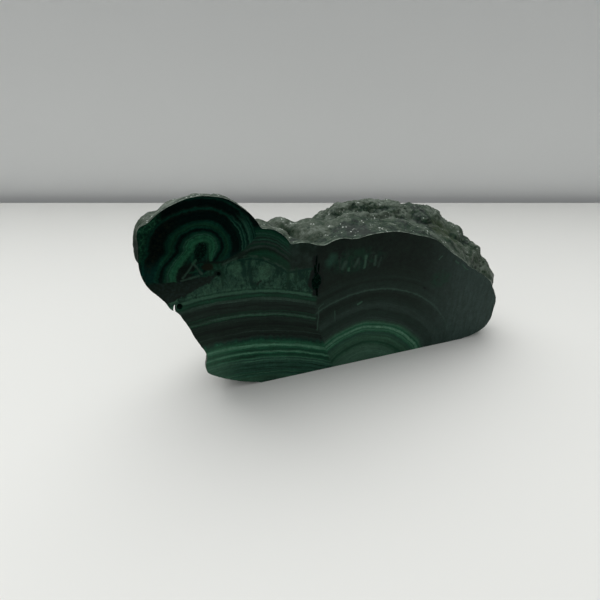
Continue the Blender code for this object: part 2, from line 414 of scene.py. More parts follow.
def roughen(stone):
    """Moves each point of the skin out or in by the fine relief."""
    mesh = stone.data
    noise.seed_set(RELIEF_SEED)
    normals = [v.normal.copy() for v in mesh.vertices]
    for vertex, normal in zip(mesh.vertices, normals):
        vertex.co += normal * skin_relief(vertex.co / MM) * MM
    mesh.update()


def pit_cutter(name, pit):
    """A small hollow with a rough wall, half sunk in the cut face."""
    x, z, half_width, half_height, depth, tilt = pit
    bm = bmesh.new()
    add_ball(bm, Vector(), vec(half_width, depth, half_height), detail=5)
    for vertex in bm.verts:
        p = vertex.co / MM + Vector((x, 0, z))
        vertex.co *= 1.0 + PIT_WAVES * noise.noise(p * 0.9) + PIT_GRIT * noise.noise(p * 2.3)
    cutter = new_object(name, mesh_from(name, bm))
    cutter.location = vec(x, 0, z)
    cutter.rotation_euler.y = math.radians(tilt)
    return cutter


def build_stone():
    """The whole stone, grown, roughened and cut, with its skin, face, foot and hollow materials."""
    stone = body_core()
    add_lumps(stone)
    voxel = FINE_VOXEL
    fuse(stone, voxel, smoothing=round(CREASE * 2 / voxel ** 2))
    settle(stone)
    roughen(stone)
    stone.data.materials.append(skin_material())
    low = vec(-SAW_REACH, -SAW_REACH, -SAW_REACH)
    cut(stone, box_cutter("face_cut", low, vec(SAW_REACH, 0, SAW_REACH)), face_material())
    cut(stone, box_cutter("foot_cut", low, vec(SAW_REACH, SAW_REACH, 0)), foot_material())
    lining = hollow_material()
    for number, pit in enumerate(PITS):
        cut(stone, pit_cutter(f"pit_{number}", pit), lining)
    stone.data.set_sharp_from_angle(angle=math.radians(SHARP_ANGLE))
    for polygon in stone.data.polygons:
        if abs(polygon.center.y) < FLAT or abs(polygon.center.z) < FLAT:
            polygon.use_smooth = False
    return stone


# ---- shader fields

class Field:
    """A number at every point of the stone, worked out by shader nodes, with ordinary arithmetic."""

    def __init__(self, socket):
        self.socket, self.tree = socket, socket.id_data

    def math(self, operation, *others):
        """The result of one arithmetic node."""
        node = self.tree.nodes.new("ShaderNodeMath")
        node.operation = operation
        for entry, value in zip(node.inputs, (self, *others)):
            feed(entry, value)
        return Field(node.outputs[0])

    __add__ = __radd__ = partialmethod(math, "ADD")
    __sub__ = partialmethod(math, "SUBTRACT")
    __mul__ = __rmul__ = partialmethod(math, "MULTIPLY")
    __truediv__ = partialmethod(math, "DIVIDE")
    lower = partialmethod(math, "MINIMUM")
    higher = partialmethod(math, "MAXIMUM")
    root = partialmethod(math, "SQRT")
    size = partialmethod(math, "ABSOLUTE")

    def __rsub__(self, other):
        return self * -1.0 + other

    def squared(self):
        return self * self

    def held(self, low, high):
        """The number, kept between two bounds."""
        return self.higher(low).lower(high)

    def rise(self, low, high):
        """0 below low, 1 above high, smooth between; a fall where low is the greater."""
        if low > high:
            return 1.0 - self.rise(high, low)
        node = self.tree.nodes.new("ShaderNodeMapRange")
        node.interpolation_type = "SMOOTHSTEP"
        node.inputs["From Min"].default_value = low
        node.inputs["From Max"].default_value = high
        feed(node.inputs["Value"], self)
        return Field(node.outputs["Result"])

    def near(self, place, width):
        """1 where the number is at a place, falling to 0 at half a width to either side."""
        return (self - place).size().rise(width / 2, 0.0)


def feed(entry, value):
    """Puts a field, a socket or a plain value on a node's input."""
    if isinstance(value, Field):
        value = value.socket
    if isinstance(value, bpy.types.NodeSocket):
        entry.id_data.links.new(value, entry)
    elif isinstance(value, tuple) and len(value) == 3 and entry.type == "RGBA":
        entry.default_value = (*value, 1.0)
    else:
        entry.default_value = value


def point(x, y, z):
    """A vector of three fields, or of fields and numbers."""
    tree = next(value.tree for value in (x, y, z) if isinstance(value, Field))
    node = tree.nodes.new("ShaderNodeCombineXYZ")
    for entry, value in zip(node.inputs, (x, y, z)):
        feed(entry, value)
    return node.outputs[0]


def grain(vector, scale, detail=2.0, roughness=0.5):
    """Perlin noise from 0 to 1 with its mean at a half."""
    node = vector.id_data.nodes.new("ShaderNodeTexNoise")
    feed(node.inputs["Vector"], vector)
    node.inputs["Scale"].default_value = scale
    node.inputs["Detail"].default_value = detail
    node.inputs["Roughness"].default_value = roughness
    return Field(node.outputs[0])


def cells(vector, scale):
    """Distance from the nearest of many scattered sites, for crystals and glints."""
    node = vector.id_data.nodes.new("ShaderNodeTexVoronoi")
    feed(node.inputs["Vector"], vector)
    node.inputs["Scale"].default_value = scale
    return Field(node.outputs["Distance"])


def blend(weight, below, above):
    """One colour over another by a weight."""
    node = weight.tree.nodes.new("ShaderNodeMix")
    node.data_type = "RGBA"
    feed(node.inputs["Factor"], weight)
    feed(node.inputs[6], below)
    feed(node.inputs[7], above)
    return node.outputs[2]


def shade(colour, strength):
    """A colour made darker or lighter by a factor."""
    node = strength.tree.nodes.new("ShaderNodeVectorMath")
    node.operation = "SCALE"
    feed(node.inputs[0], colour)
    feed(node.inputs["Scale"], strength)
    return node.outputs[0]


def bands(field, stops):
    """Colours along a field: stops are (place, colour), and the colours run smoothly between them."""
    first, last = stops[0][0], stops[-1][0]
    ramp = field.tree.nodes.new("ShaderNodeValToRGB")
    elements = ramp.color_ramp.elements
    elements[0].position, elements[0].color = 0.0, (*stops[0][1], 1.0)
    elements[1].position, elements[1].color = 1.0, (*stops[-1][1], 1.0)
    for place, colour in stops[1:-1]:
        made = elements.new((place - first) / (last - first))
        made.color = (*colour, 1.0)
    feed(ramp.inputs[0], (field - first) / (last - first))
    return ramp.outputs["Color"]


def stretch(x, z, start, end):
    """Distance in millimetres from a straight stretch between two places on the face."""
    (ax, az), (bx, bz) = start, end
    dx, dz = bx - ax, bz - az
    along = (((x - ax) * dx + (z - az) * dz) / (dx * dx + dz * dz)).held(0.0, 1.0)
    return ((x - ax - along * dx).squared() + (z - az - along * dz).squared()).root()


def spread(u, v, centre, radii):
    """Square of the distance from an oval's centre, in radii: 1 on the oval."""
    return ((u - centre[0]) / radii[0]).squared() + ((v - centre[1]) / radii[1]).squared()


def oval(u, v, centre, radii, inner=0.3):
    """1 inside an oval, falling to 0 at its edge."""
    return spread(u, v, centre, radii).rise(1.0, inner)


# ---- the polished face

# Stone colours, as linear red, green and blue
INK = (0.0008, 0.0052, 0.0042)
SOOT = (0.0035, 0.0085, 0.006)
SHADE = (0.0062, 0.015, 0.0098)
ASH = (0.01, 0.0235, 0.0165)
SLATE = (0.018, 0.035, 0.027)
PLUM = (0.011, 0.024, 0.023)
RUST = (0.0085, 0.0105, 0.0055)
BOTTLE = (0.002, 0.024, 0.015)
TEAL = (0.002, 0.03, 0.024)
PINE = (0.005, 0.031, 0.016)
MOSS = (0.006, 0.043, 0.022)
LEAF = (0.016, 0.057, 0.037)
FERN = (0.009, 0.064, 0.032)
JADE = (0.017, 0.085, 0.043)
HAZE = (0.023, 0.068, 0.04)
LICHEN = (0.028, 0.06, 0.042)
REED = (0.035, 0.1, 0.06)
MINT = (0.052, 0.15, 0.09)
FOG = (0.038, 0.092, 0.06)
FROST = (0.095, 0.21, 0.135)
STEEL = (0.04, 0.068, 0.06)

# Places on the face, (X, Z) in millimetres, and the curves of its layers. A layer's age is its
# height over the foot where the left layers are highest.
CREST_X = -12.0           # where the left layers are highest
LAYER_SAG = 0.0055        # how fast they fall away from there
NEEDLES_START = 46.9      # age of the layers where the green needles begin
NEEDLES_CROWN = (-4.0, 60.6)  # top of the line that ends the needles
NEEDLES_SAG = 0.03        # how fast that line falls away from there
NEEDLES_LEAST = 52.5      # and the height that it falls to
LOBE_AXIS = 1.5           # X where the small lobe's rings are highest
LOBE_SAG = 0.048
DOME_CENTRE = (50.0, -12.0)   # heart of the right dome's arcs, below the foot
DOME_SPREAD = 0.83        # ages passed for each millimetre out from the dome's heart
DOME_START = 4.9          # age taken off, so that the dome's arcs meet the left layers
FAULT_X = 25.0            # where the left layers meet the dome, above FAULT_BEND
FAULT_BEND = 27.0
FAULT_LEAN = 0.33         # how far the fault leans to the right for each millimetre down
CRACK_X = 24.8
VUG_Z = 46.4              # height of the open vug on the crack
KNOB_HEART = (-18.7, 67.0)
KNOB_EDGE = 19.0          # radius of the knob's last ring
FAN_LEAN = 1.81           # how far the knob's fan leans left for each millimetre below its heart
FAN_CURL = 0.078          # and how it curls back, lower down
LEFT_SQUASH = 0.74        # rings are wider to the left of the heart by this
RIGHT_SQUASH = 0.95       # and to the right by this

# Gloss of the polished face
FACE_ROUGHNESS = 0.18
FACE_SPECULAR = 0.075

# Layers from the foot up, on the left: (age, colour)
LOWER_LAYERS = [
    (0.0, LEAF), (4.0, HAZE), (5.4, LEAF), (5.9, MOSS), (6.4, FOG), (6.9, MOSS), (7.4, LEAF), (8.7, LEAF),
    (9.2, PINE), (9.8, LEAF), (10.7, LEAF), (11.2, PINE), (11.8, LEAF), (12.6, LEAF), (13.1, REED),
    (13.6, LEAF), (14.1, LEAF), (14.5, REED), (14.9, FERN), (15.4, MOSS), (16.2, MOSS), (16.8, FERN),
    (17.2, MINT), (17.7, MINT), (18.1, FERN), (18.7, MOSS), (19.8, FERN), (20.6, MINT), (21.3, MINT),
    (21.8, JADE), (22.8, FERN), (24.2, MOSS)]
MIDDLE_LAYERS = [
    (23.0, FERN), (24.0, BOTTLE), (25.4, ASH), (26.2, SOOT), (27.6, SHADE), (28.1, SLATE), (28.5, SHADE),
    (30.4, SHADE), (31.2, SOOT), (33.2, SHADE), (33.7, ASH), (34.1, SHADE), (34.7, ASH), (35.3, PINE),
    (35.8, HAZE), (36.4, LICHEN), (36.8, PINE), (37.3, SHADE), (37.7, PINE), (38.2, SHADE), (39.4, ASH),
    (40.4, SHADE), (41.6, ASH), (42.3, ASH), (42.8, LICHEN), (43.5, LICHEN), (44.0, PINE), (45.2, MOSS),
    (45.7, PINE), (46.2, LEAF), (46.7, REED)]
# Arcs of the right dome: its green heart, then the dull arcs over it
DOME_LAYERS = [
    (8.0, FOG), (11.7, FOG), (13.0, HAZE), (14.1, MOSS), (14.6, HAZE), (15.7, HAZE), (16.2, REED),
    (16.8, HAZE), (18.5, LEAF), (19.2, JADE), (19.7, MINT), (20.1, FERN), (20.5, MINT), (21.3, MINT),
    (21.8, FERN), (22.2, JADE), (22.6, REED), (23.1, HAZE), (24.2, SLATE), (26.4, ASH), (28.0, ASH)]
DOME_TOP = [
    (28.0, ASH), (28.9, SLATE), (30.2, SLATE), (31.6, ASH), (33.4, SHADE), (34.6, SHADE), (35.6, ASH),
    (36.1, SLATE), (36.6, SLATE), (37.2, ASH), (38.6, ASH), (40.0, SHADE), (41.4, ASH), (43.0, SHADE),
    (46.0, SHADE)]
# Rings of the knob, from its heart out
KNOB_RINGS = [
    (0.0, BOTTLE), (1.8, PINE), (2.6, JADE), (3.5, FERN), (4.2, JADE), (4.5, MOSS), (4.8, LEAF),
    (5.2, PINE), (5.7, BOTTLE), (6.3, INK), (6.8, INK), (7.3, BOTTLE), (7.9, PINE), (8.5, MOSS),
    (9.1, BOTTLE), (9.5, BOTTLE), (10.2, INK), (12.8, INK), (13.3, SOOT), (13.8, BOTTLE), (14.3, BOTTLE),
    (14.7, SOOT), (15.0, INK), (17.2, INK), (17.8, BOTTLE), (18.4, INK), (19.6, BOTTLE)]
# Rings of the small lobe, by height on its axis
LOBE_RINGS = [
    (60.0, PINE), (61.6, MOSS), (62.6, PINE), (63.6, SHADE), (64.2, SLATE), (64.8, SLATE), (65.3, PINE),
    (66.2, SLATE), (66.8, ASH), (67.4, LEAF), (67.9, ASH), (68.6, LEAF), (69.1, PINE), (69.8, LEAF),
    (70.4, PINE), (70.9, MOSS), (71.5, BOTTLE), (73.0, INK)]

# Straight veins, wisps and scratches on the face: start, end, width, colour
STROKES = [
    ((-22.9, 61.0), (-27.1, 56.0), 0.8, LICHEN), ((-22.9, 61.0), (-20.3, 56.6), 0.8, LICHEN),
    ((-27.8, 54.9), (-21.4, 56.0), 0.8, LICHEN), ((-22.9, 64.1), (-22.9, 61.0), 0.7, MOSS),
    ((-20.7, 63.0), (-22.9, 61.0), 0.8, HAZE), ((-24.6, 57.6), (-22.0, 58.0), 0.6, MOSS),
    ((-17.6, 60.8), (-12.5, 60.2), 0.9, SOOT), ((-14.9, 56.0), (-13.4, 55.2), 1.8, INK),
    ((-4.7, 59.3), (-4.3, 53.6), 1.9, BOTTLE), ((-2.4, 58.9), (-1.7, 49.8), 1.4, BOTTLE),
    ((0.2, 49.0), (1.6, 50.2), 0.9, SOOT), ((12.9, 53.1), (12.7, 45.2), 1.3, PINE),
    ((16.2, 53.4), (16.1, 46.6), 1.2, PINE), ((-12.6, 57.4), (-13.4, 50.6), 1.0, PINE),
    ((37.7, 52.8), (36.6, 50.2), 1.7, LICHEN), ((39.4, 49.8), (39.2, 48.9), 1.1, REED),
    ((43.4, 53.6), (41.8, 50.4), 1.3, LICHEN), ((46.8, 54.4), (46.4, 49.2), 1.1, FOG),
    ((51.2, 53.8), (51.0, 49.8), 1.2, LICHEN), ((53.6, 52.4), (52.8, 48.8), 0.9, SLATE),
    ((31.9, 55.6), (30.6, 53.4), 3.6, LEAF), ((42.0, 56.4), (45.0, 56.6), 2.8, PINE),
    ((83.4, 47.4), (84.8, 49.0), 0.5, FOG), ((92.6, 45.3), (94.6, 43.7), 0.6, FOG),
    ((97.0, 42.6), (100.4, 39.7), 0.6, FOG), ((44.2, 31.4), (46.2, 32.5), 0.8, FOG),
    ((28.2, 34.9), (26.2, 33.4), 0.6, LICHEN), ((26.2, 33.4), (25.7, 22.3), 0.6, LICHEN),
    ((33.6, 30.2), (33.9, 25.4), 0.5, LICHEN), ((77.4, 34.3), (78.2, 33.9), 1.0, INK),
]

STROKE_CORE = 0.1       # share of a stroke's width where it is at its strongest, to either side
STROKE_EDGE = 0.85      # share of its width where it has faded out
STROKE_STRENGTH = 0.85

# Soft fans of bright needles under the line that ends them: centre, half width and half height
FANS = [((-7.6, 55.8), (3.3, 4.4)), ((3.5, 53.6), (4.5, 4.6)), ((13.9, 51.4), (3.4, 3.6))]


def mottle(u, v, seed, scale=1.0, detail=2.0, roughness=0.5):
    """Noise over two fields; the seed picks a slice of it that no other marking has."""
    return grain(point(u, v, seed), scale, detail, roughness)


def jitter(x, z, seed):
    """Small waves that bend every marking by up to about half a millimetre."""
    return (mottle(x, z, seed, scale=0.55, roughness=0.6) - 0.5) * 0.9


class Canvas:
    """The cut face as it is painted: the places on it in millimetres, and the colour so far."""

    def __init__(self, x, z):
        self.x = x + (mottle(x, z, 3.0, scale=0.09) - 0.5) * 1.2 + jitter(x, z, 43.0)
        self.z = z + (mottle(x, z, 40.0, scale=0.09) - 0.5) * 1.2 + jitter(x, z, 47.0)
        self.colour = None

    def coat(self, weight, colour):
        """Lays a colour over the face where the weight is 1."""
        self.colour = blend(weight, self.colour, colour)

    def tone(self, strength):
        """Makes the face darker or lighter by a factor."""
        self.colour = shade(self.colour, strength)

    def stroke(self, start, end, width, colour):
        """Draws a soft straight line."""
        distance = stretch(self.x, self.z, start, end)
        weight = distance.rise(width * STROKE_EDGE, width * STROKE_CORE) * STROKE_STRENGTH
        self.coat(weight, colour)


def lamination(along, age, strength):
    """Fine lines that keep to the layers, as a factor on the colour."""
    thick = mottle(along * 0.02, age, 11.0, scale=0.8, detail=1.0)
    thin = mottle(along * 0.04, age, 17.0, scale=2.6)
    return 1.0 + (thick - 0.5) * strength * 1.3 + (thin - 0.5) * strength * 2.2


def fibres(along, age, strength):
    """Fine needles that stand across the layers, as a factor on the colour."""
    needles = mottle(along * 1.5, age * 0.15, 23.0, detail=3.0, roughness=0.65)
    clouds = mottle(along * 0.12, age * 0.3, 29.0)
    return 1.0 + (needles - 0.5) * strength + (clouds - 0.5) * strength


def left_layers(canvas, age):
    """The layers on the left, ragged with needles where the green ones end, hazy at the lower left."""
    x, z = canvas.x, canvas.z
    tufts = (mottle(x * 0.7, z * 0.1, 5.0) - 0.5) * age.near(24.6, 5.0) * 4.0
    ragged = age + tufts
    lower = bands(ragged, LOWER_LAYERS)
    middle = bands(ragged, MIDDLE_LAYERS)
    canvas.colour = blend(ragged.rise(23.0, 23.2), lower, middle)
    canvas.tone(lamination(x, age, 0.8))
    canvas.tone(fibres(x, age, 0.5))
    canvas.coat(x.rise(-6.0, -22.0) * z.rise(34.0, 4.0) * 0.35, FROST)


def fibre_zone(canvas, age, top):
    """The hazy green needles above the layers on the left, below the line at height top."""
    x, z = canvas.x, canvas.z
    needles = mottle(x * 0.7, z * 0.22, 31.0, detail=3.0, roughness=0.6)
    patches = mottle(x, z, 33.0, scale=0.26, detail=3.0, roughness=0.6)
    fine = mottle(x * 1.6, z * 0.9, 37.0, detail=3.0, roughness=0.7)
    dim = x.rise(2.0, 16.0) * 0.085
    mix = needles * 0.45 + patches * 0.55 + (fine - 0.5) * 0.5 - dim
    for centre, radii in FANS:
        offset = spread(x, z, centre, radii).root()
        outline = offset.near(1.12, 0.5) * (z - centre[1]).rise(-3.0, 0.5)
        mix = mix + offset.rise(1.0, 0.4) * 0.10 - outline * 0.12
    greens = [(0.34, BOTTLE), (0.42, PINE), (0.48, LEAF), (0.56, HAZE), (0.66, REED)]
    colour = bands(mix, greens)
    canvas.coat((age - NEEDLES_START).rise(-0.5, 0.8) * (top - z).rise(-0.2, 0.2), colour)
    canvas.coat(age.near(46.6, 1.7), REED)
    canvas.coat(age.near(48.5, 1.0) * needles.rise(0.42, 0.6), REED)
    canvas.coat(age.near(47.6, 0.9) * patches.rise(0.42, 0.6), MOSS)


def lobe(canvas, top):
    """The dull stone above the needles, with the small lobe's rings over it."""
    x, z = canvas.x, canvas.z
    above = (z - top).rise(-0.2, 0.2)
    height = z + (x - LOBE_AXIS).squared() * LOBE_SAG
    cloud = mottle(x, z, 51.0, scale=0.3, detail=3.0)
    rings = shade(bands(height, LOBE_RINGS), lamination(x, height, 0.5))
    canvas.coat(above, rings)
    canvas.coat(above * x.rise(-1.0, -5.0) * z.rise(64.5, 62.5) * 0.8, SHADE)
    canvas.coat(above * x.rise(12.4, 14.8), bands(cloud, [(0.36, SHADE), (0.64, SLATE)]))
    canvas.coat((z - top + 0.6).near(0.0, 1.8) * cloud.rise(0.40, 0.55), BOTTLE)
    pale_line = (z - top - 0.5).near(0.0, 1.5) * x.rise(20.0, 12.0)
    canvas.coat(pale_line * cloud.rise(0.62, 0.42), LICHEN)


def neck(canvas):
    """The dull stone between the knob's fan and the needles, purple-grey lower down."""
    x, z = canvas.x, canvas.z
    ragged = (mottle(x, z, 63.0, scale=0.5, detail=3.0) - 0.5) * 3.0
    low = ((x + 14.0) * 0.767 + 55.6).higher((x + 20.0) * 0.40 + 51.6) + ragged
    speck = mottle(x, z, 61.0, scale=0.8, detail=3.0, roughness=0.6)
    zone = (z - low).rise(-0.3, 0.3) * (x + 12.4 + ragged * 0.3).rise(0.5, -0.5) * z.rise(61.0, 60.4)
    inner = bands(speck, [(0.34, INK), (0.52, BOTTLE), (0.64, MOSS)])
    outer = bands(speck, [(0.32, SHADE), (0.5, PINE), (0.66, LEAF)])
    canvas.coat(zone, blend(x.rise(-19.2, -17.6), inner, outer))
    purple = zone * (z - 55.2 + ragged * 0.3).rise(0.5, -0.5)
    canvas.coat(purple, bands(speck, [(0.28, SOOT), (0.50, SHADE), (0.74, PLUM)]))
    rust = ((x + 17.9 + ragged * 0.2).squared() / 6.0 + (z - 59.0).squared() / 3.6).rise(1.0, 0.3)
    canvas.coat(rust, RUST)


def knob_field(x, z):
    """Rings of the knob: round its heart above, and a fan that opens to the left below it."""
    heart_x, heart_z = KNOB_HEART
    below = (heart_z - z).higher(0.0)
    lean = below.squared() / (below + 2.0)
    axis = heart_x - lean * FAN_LEAN + below.squared() * FAN_CURL
    left = (axis - x).higher(0.0)
    right = (x - heart_x).higher(0.0)
    wide = left * LEFT_SQUASH + (left - 9.8).higher(0.0) * below.rise(2.0, 8.0) * 0.5
    deep = (z - heart_z).higher(0.0) + below * right.rise(0.0, 4.0)
    return (wide.squared() + (right * RIGHT_SQUASH).squared() + deep.squared()).root()


def knob_reach(x, z, rings):
    """1 on the knob's rings: the round above the heart, and the fan to the left of its own axis."""
    fan_axis = (67.0 - z).higher(0.0) * -0.52 - 18.9
    fan = (x - fan_axis).rise(0.6, 0.1) * (z - 54.4 + (x + 28.0) * 0.12).rise(-0.3, 0.3)
    round_foot = (x + 14.0).higher(0.0).squared() * 0.035
    inside = rings.rise(KNOB_EDGE, KNOB_EDGE - 0.4) * (z - round_foot - 60.8).rise(-0.2, 0.2)
    return inside.higher(fan)


def knob(canvas):
    """The knob's rings: teal and sooty low down, rusty and speckled on the left, lined on the right."""
    x, z = canvas.x, canvas.z
    wobble = mottle(x, z, 71.0, scale=0.35) + mottle(x, z, 72.0, scale=1.1) * 0.5
    rings = knob_field(x, z) + (wobble - 0.75) * 0.9
    speck = mottle(x, z, 73.0, scale=0.9, detail=4.0, roughness=0.65)
    colour = bands(rings, KNOB_RINGS)
    lower = z.rise(64.0, 60.0)
    colour = blend(lower * rings.rise(3.0, 2.0), colour, SOOT)
    colour = blend(lower * rings.rise(7.2, 8.6) * 0.6, colour, TEAL)
    red = rings.near(12.0, 4.2) * x.rise(-24.0, -32.0) * speck.rise(0.46, 0.60)
    colour = blend(red * 0.7, colour, RUST)
    flank = rings.rise(13.6, 15.4) * x.rise(-30.0, -34.0) * z.rise(61.0, 67.0)
    colour = blend(flank, colour, bands(speck, [(0.36, BOTTLE), (0.50, MOSS), (0.64, JADE)]))
    right = rings.rise(12.2, 13.4) * x.rise(-10.0, -6.0) * z.rise(79.0, 73.0)
    lines = mottle(rings, x * 0.02, 75.0, scale=1.2, detail=1.0)
    colour = blend(right, colour, bands(lines, [(0.34, INK), (0.46, BOTTLE), (0.60, LEAF)]))
    colour = shade(colour, lamination(x, rings, 0.55))
    dim = x.rise(-22.0, -30.0) * z.rise(63.0, 67.0) * 0.3
    colour = shade(colour, (1.0 + (speck - 0.5) * 1.3) * (1.05 - dim))
    canvas.coat(knob_reach(x, z, rings), colour)


def dome(canvas, side):
    """The arcs of the right dome and the dull stone round them."""
    x, z = canvas.x, canvas.z
    reach = ((x - DOME_CENTRE[0]).squared() + (z - DOME_CENTRE[1]).squared()).root()
    age = reach * DOME_SPREAD - DOME_START + oval(x, z, (66.0, 16.0), (20.0, 16.0), 0.0)
    lower = bands(age, DOME_LAYERS)
    upper = bands(age, DOME_TOP)
    colour = blend(age.rise(27.9, 28.1), lower, upper)
    colour = shade(colour, lamination(x, age, 0.45))
    speck = mottle(x, z, 81.0, scale=0.5, detail=4.0, roughness=0.7)
    colour = blend(age.near(36.3, 1.1), colour, LICHEN)
    broken = speck.rise(0.38, 0.56) * (x.rise(40.0, 54.0) * 0.6 + 0.3)
    colour = blend(age.near(20.95, 1.3) * broken, colour, FROST)
    crown = z.rise(44.0, 50.0) * x.rise(96.0, 80.0)
    colour = blend(crown, colour, bands(speck, [(0.3, SOOT), (0.6, SHADE)]))
    end = x.rise(70.0, 106.0)
    needles = mottle(x * 0.7, z * 0.12, 83.0, detail=3.0)
    colour = blend(end, colour, bands(needles, [(0.15, SLATE), (0.85, STEEL)]))
    streaks = spread(x, z, (42.0, 53.0), (14.5, 6.2)).rise(1.3, 0.0)
    veins = bands(needles, [(0.38, BOTTLE), (0.52, PINE), (0.66, SLATE)])
    colour = blend(streaks * speck.rise(0.30, 0.60), colour, veins)
    patch = oval(x, z, (86.0, 37.5), (7.0, 5.5), 0.2)
    colour = blend(patch * speck.rise(0.32, 0.68) * 0.7, colour, MOSS)
    colour = shade(colour, 1.0 + (speck - 0.5) * 0.5)
    canvas.coat(side, colour)


def crack(canvas):
    """The black break that runs down through the open vug, and the sooty stone beside it."""
    x, z = canvas.x, canvas.z
    bend = (mottle(0.0, z, 95.0, scale=0.35, detail=3.0) - 0.5) * 3.0
    aside = (x - CRACK_X - bend).size()
    by_vug = (z - VUG_Z).near(0.0, 12.0) * 1.9
    open_width = mottle(0.0, z, 97.0, scale=0.5) * 1.1 + by_vug
    reach = (z - 48.3).size().rise(10.0, 8.0)
    canvas.coat(reach * (aside - open_width).rise(1.6, 0.5), SOOT)
    canvas.coat(reach * (aside - open_width * 0.7).rise(0.35, 0.0), INK)


def face_colour(x, z):
    """Everything on the polished face, painted from the oldest marking to the last scratch."""
    canvas = Canvas(x, z)
    x, z = canvas.x, canvas.z
    age = z + (x - CREST_X).squared() * LAYER_SAG
    fault = (FAULT_BEND - z).higher(0.0) * FAULT_LEAN + FAULT_X
    crown_x, crown_z = NEEDLES_CROWN
    needles_top = (crown_z - (x - crown_x).squared() * NEEDLES_SAG).higher(NEEDLES_LEAST)
    left_layers(canvas, age)
    fibre_zone(canvas, age, needles_top)
    lobe(canvas, needles_top)
    neck(canvas)
    knob(canvas)
    dome(canvas, (x - fault).rise(-0.7, 0.7))
    crack(canvas)
    for start, end, width, colour in STROKES:
        canvas.stroke(start, end, width, colour)
    grit = mottle(x, z, 91.0, scale=1.6, detail=3.0, roughness=0.7)
    clouds = mottle(x, z, 93.0, scale=0.3, detail=3.0, roughness=0.6)
    canvas.tone(1.0 + (grit - 0.5) * 0.9 + (clouds - 0.5) * 0.5)
    return canvas.colour


def bare_material(name):
    """A new material and its surface shader."""
    material = bpy.data.materials.new(name)
    material.use_nodes = True
    return material, material.node_tree.nodes["Principled BSDF"]


def stone_material(name):
    """A bare material, and the place on the stone in millimetres, whole and split."""
    material, surface = bare_material(name)
    tree = material.node_tree
    place = tree.nodes.new("ShaderNodeTexCoord")
    scale = tree.nodes.new("ShaderNodeVectorMath")
    scale.operation = "SCALE"
    scale.inputs["Scale"].default_value = 1.0 / MM
    tree.links.new(place.outputs["Object"], scale.inputs[0])
    split = tree.nodes.new("ShaderNodeSeparateXYZ")
    tree.links.new(scale.outputs[0], split.inputs[0])
    axes = [Field(output) for output in split.outputs]
    return material, surface, scale.outputs[0], axes


def finish_surface(surface, colour, roughness, specular):
    """Sets a surface shader's colour, roughness and gloss."""
    feed(surface.inputs["Base Color"], colour)
    feed(surface.inputs["Roughness"], roughness)
    surface.inputs["Specular IOR Level"].default_value = specular


def face_material():
    """The polished cut face."""
    material, surface, _, (x, _, z) = stone_material("polished_malachite")
    finish_surface(surface, face_colour(x, z), FACE_ROUGHNESS, FACE_SPECULAR)
    return material


# ---- the skin, the foot and the hollows

DUST = (0.04, 0.059, 0.038)
CHALK = (0.095, 0.122, 0.094)
RIM_HIGHLIGHT = (0.15, 0.19, 0.15)
SAGE = (0.018, 0.04, 0.0205)
VERDIGRIS = (0.008, 0.028, 0.0145)
# deep green of the skin's darkest patches, also used as painted shade in its creases and on the knob's left
# flank
DEEP_GREEN_AND_SHADE = (0.004, 0.0125, 0.0075)
OLIVE = (0.023, 0.039, 0.013)
GLINT = (0.6, 0.65, 0.6)
SKIN_SPECULAR = 0.13
FOOT_SPECULAR = 0.25
LINING_ROUGHNESS = 0.60
LINING_SPECULAR = 0.04

# Pale crests seen from above (X, Y): the terrace's back edge, and the ridge before the right slope
PALE_CRESTS = [
    [(42.0, 31.0), (47.0, 26.5), (66.0, 25.3), (78.0, 15.0)],
    [(74.5, 35.0), (80.5, 24.5), (80.0, 14.0), (91.7, 0.5)],
]
# Places of the upper skin with more or less dust, and one with painted shade: centre (X, Y), radii, amount
DUST_AND_SHADE_PATCHES = [
    # painted shade: the first patch darkens the hollow behind the terrace's edge, where shade falls
    ((52.0, 30.5), (13.0, 5.0), -0.06),     # the hollow behind the terrace's edge
    ((86.5, 22.0), (5.0, 11.0), -0.26),     # the groove right of the ridge
    ((41.0, 8.0), (10.0, 7.0), -0.10), ((44.0, 17.0), (11.0, 5.0), 0.08), ((62.0, 33.0), (16.0, 8.0), 0.05),
    ((-28.0, 8.0), (12.0, 9.0), 0.12),      # the top of the knob
]
# Layers that the sawn foot shows, from the dome's heart out
FOOT_LAYERS = [
    (8.0, HAZE), (13.0, LEAF), (14.0, MOSS), (15.0, LEAF), (18.0, FERN), (19.5, REED), (21.0, MINT),
    (22.0, PINE), (23.0, HAZE), (25.0, ASH), (28.0, SHADE), (29.5, PINE), (31.0, SHADE), (35.5, SHADE),
    (36.3, LICHEN), (37.2, SHADE), (42.0, PINE), (46.0, SHADE)]


def on_crest(x, y, waver):
    """1 on a pale crest of the skin, falling to 0 beside it."""
    stretches = [pair for line in PALE_CRESTS for pair in zip(line, line[1:])]
    weights = [(stretch(x, y, start, end) + waver).rise(2.4, -0.2) for start, end in stretches]
    return reduce(Field.higher, weights)


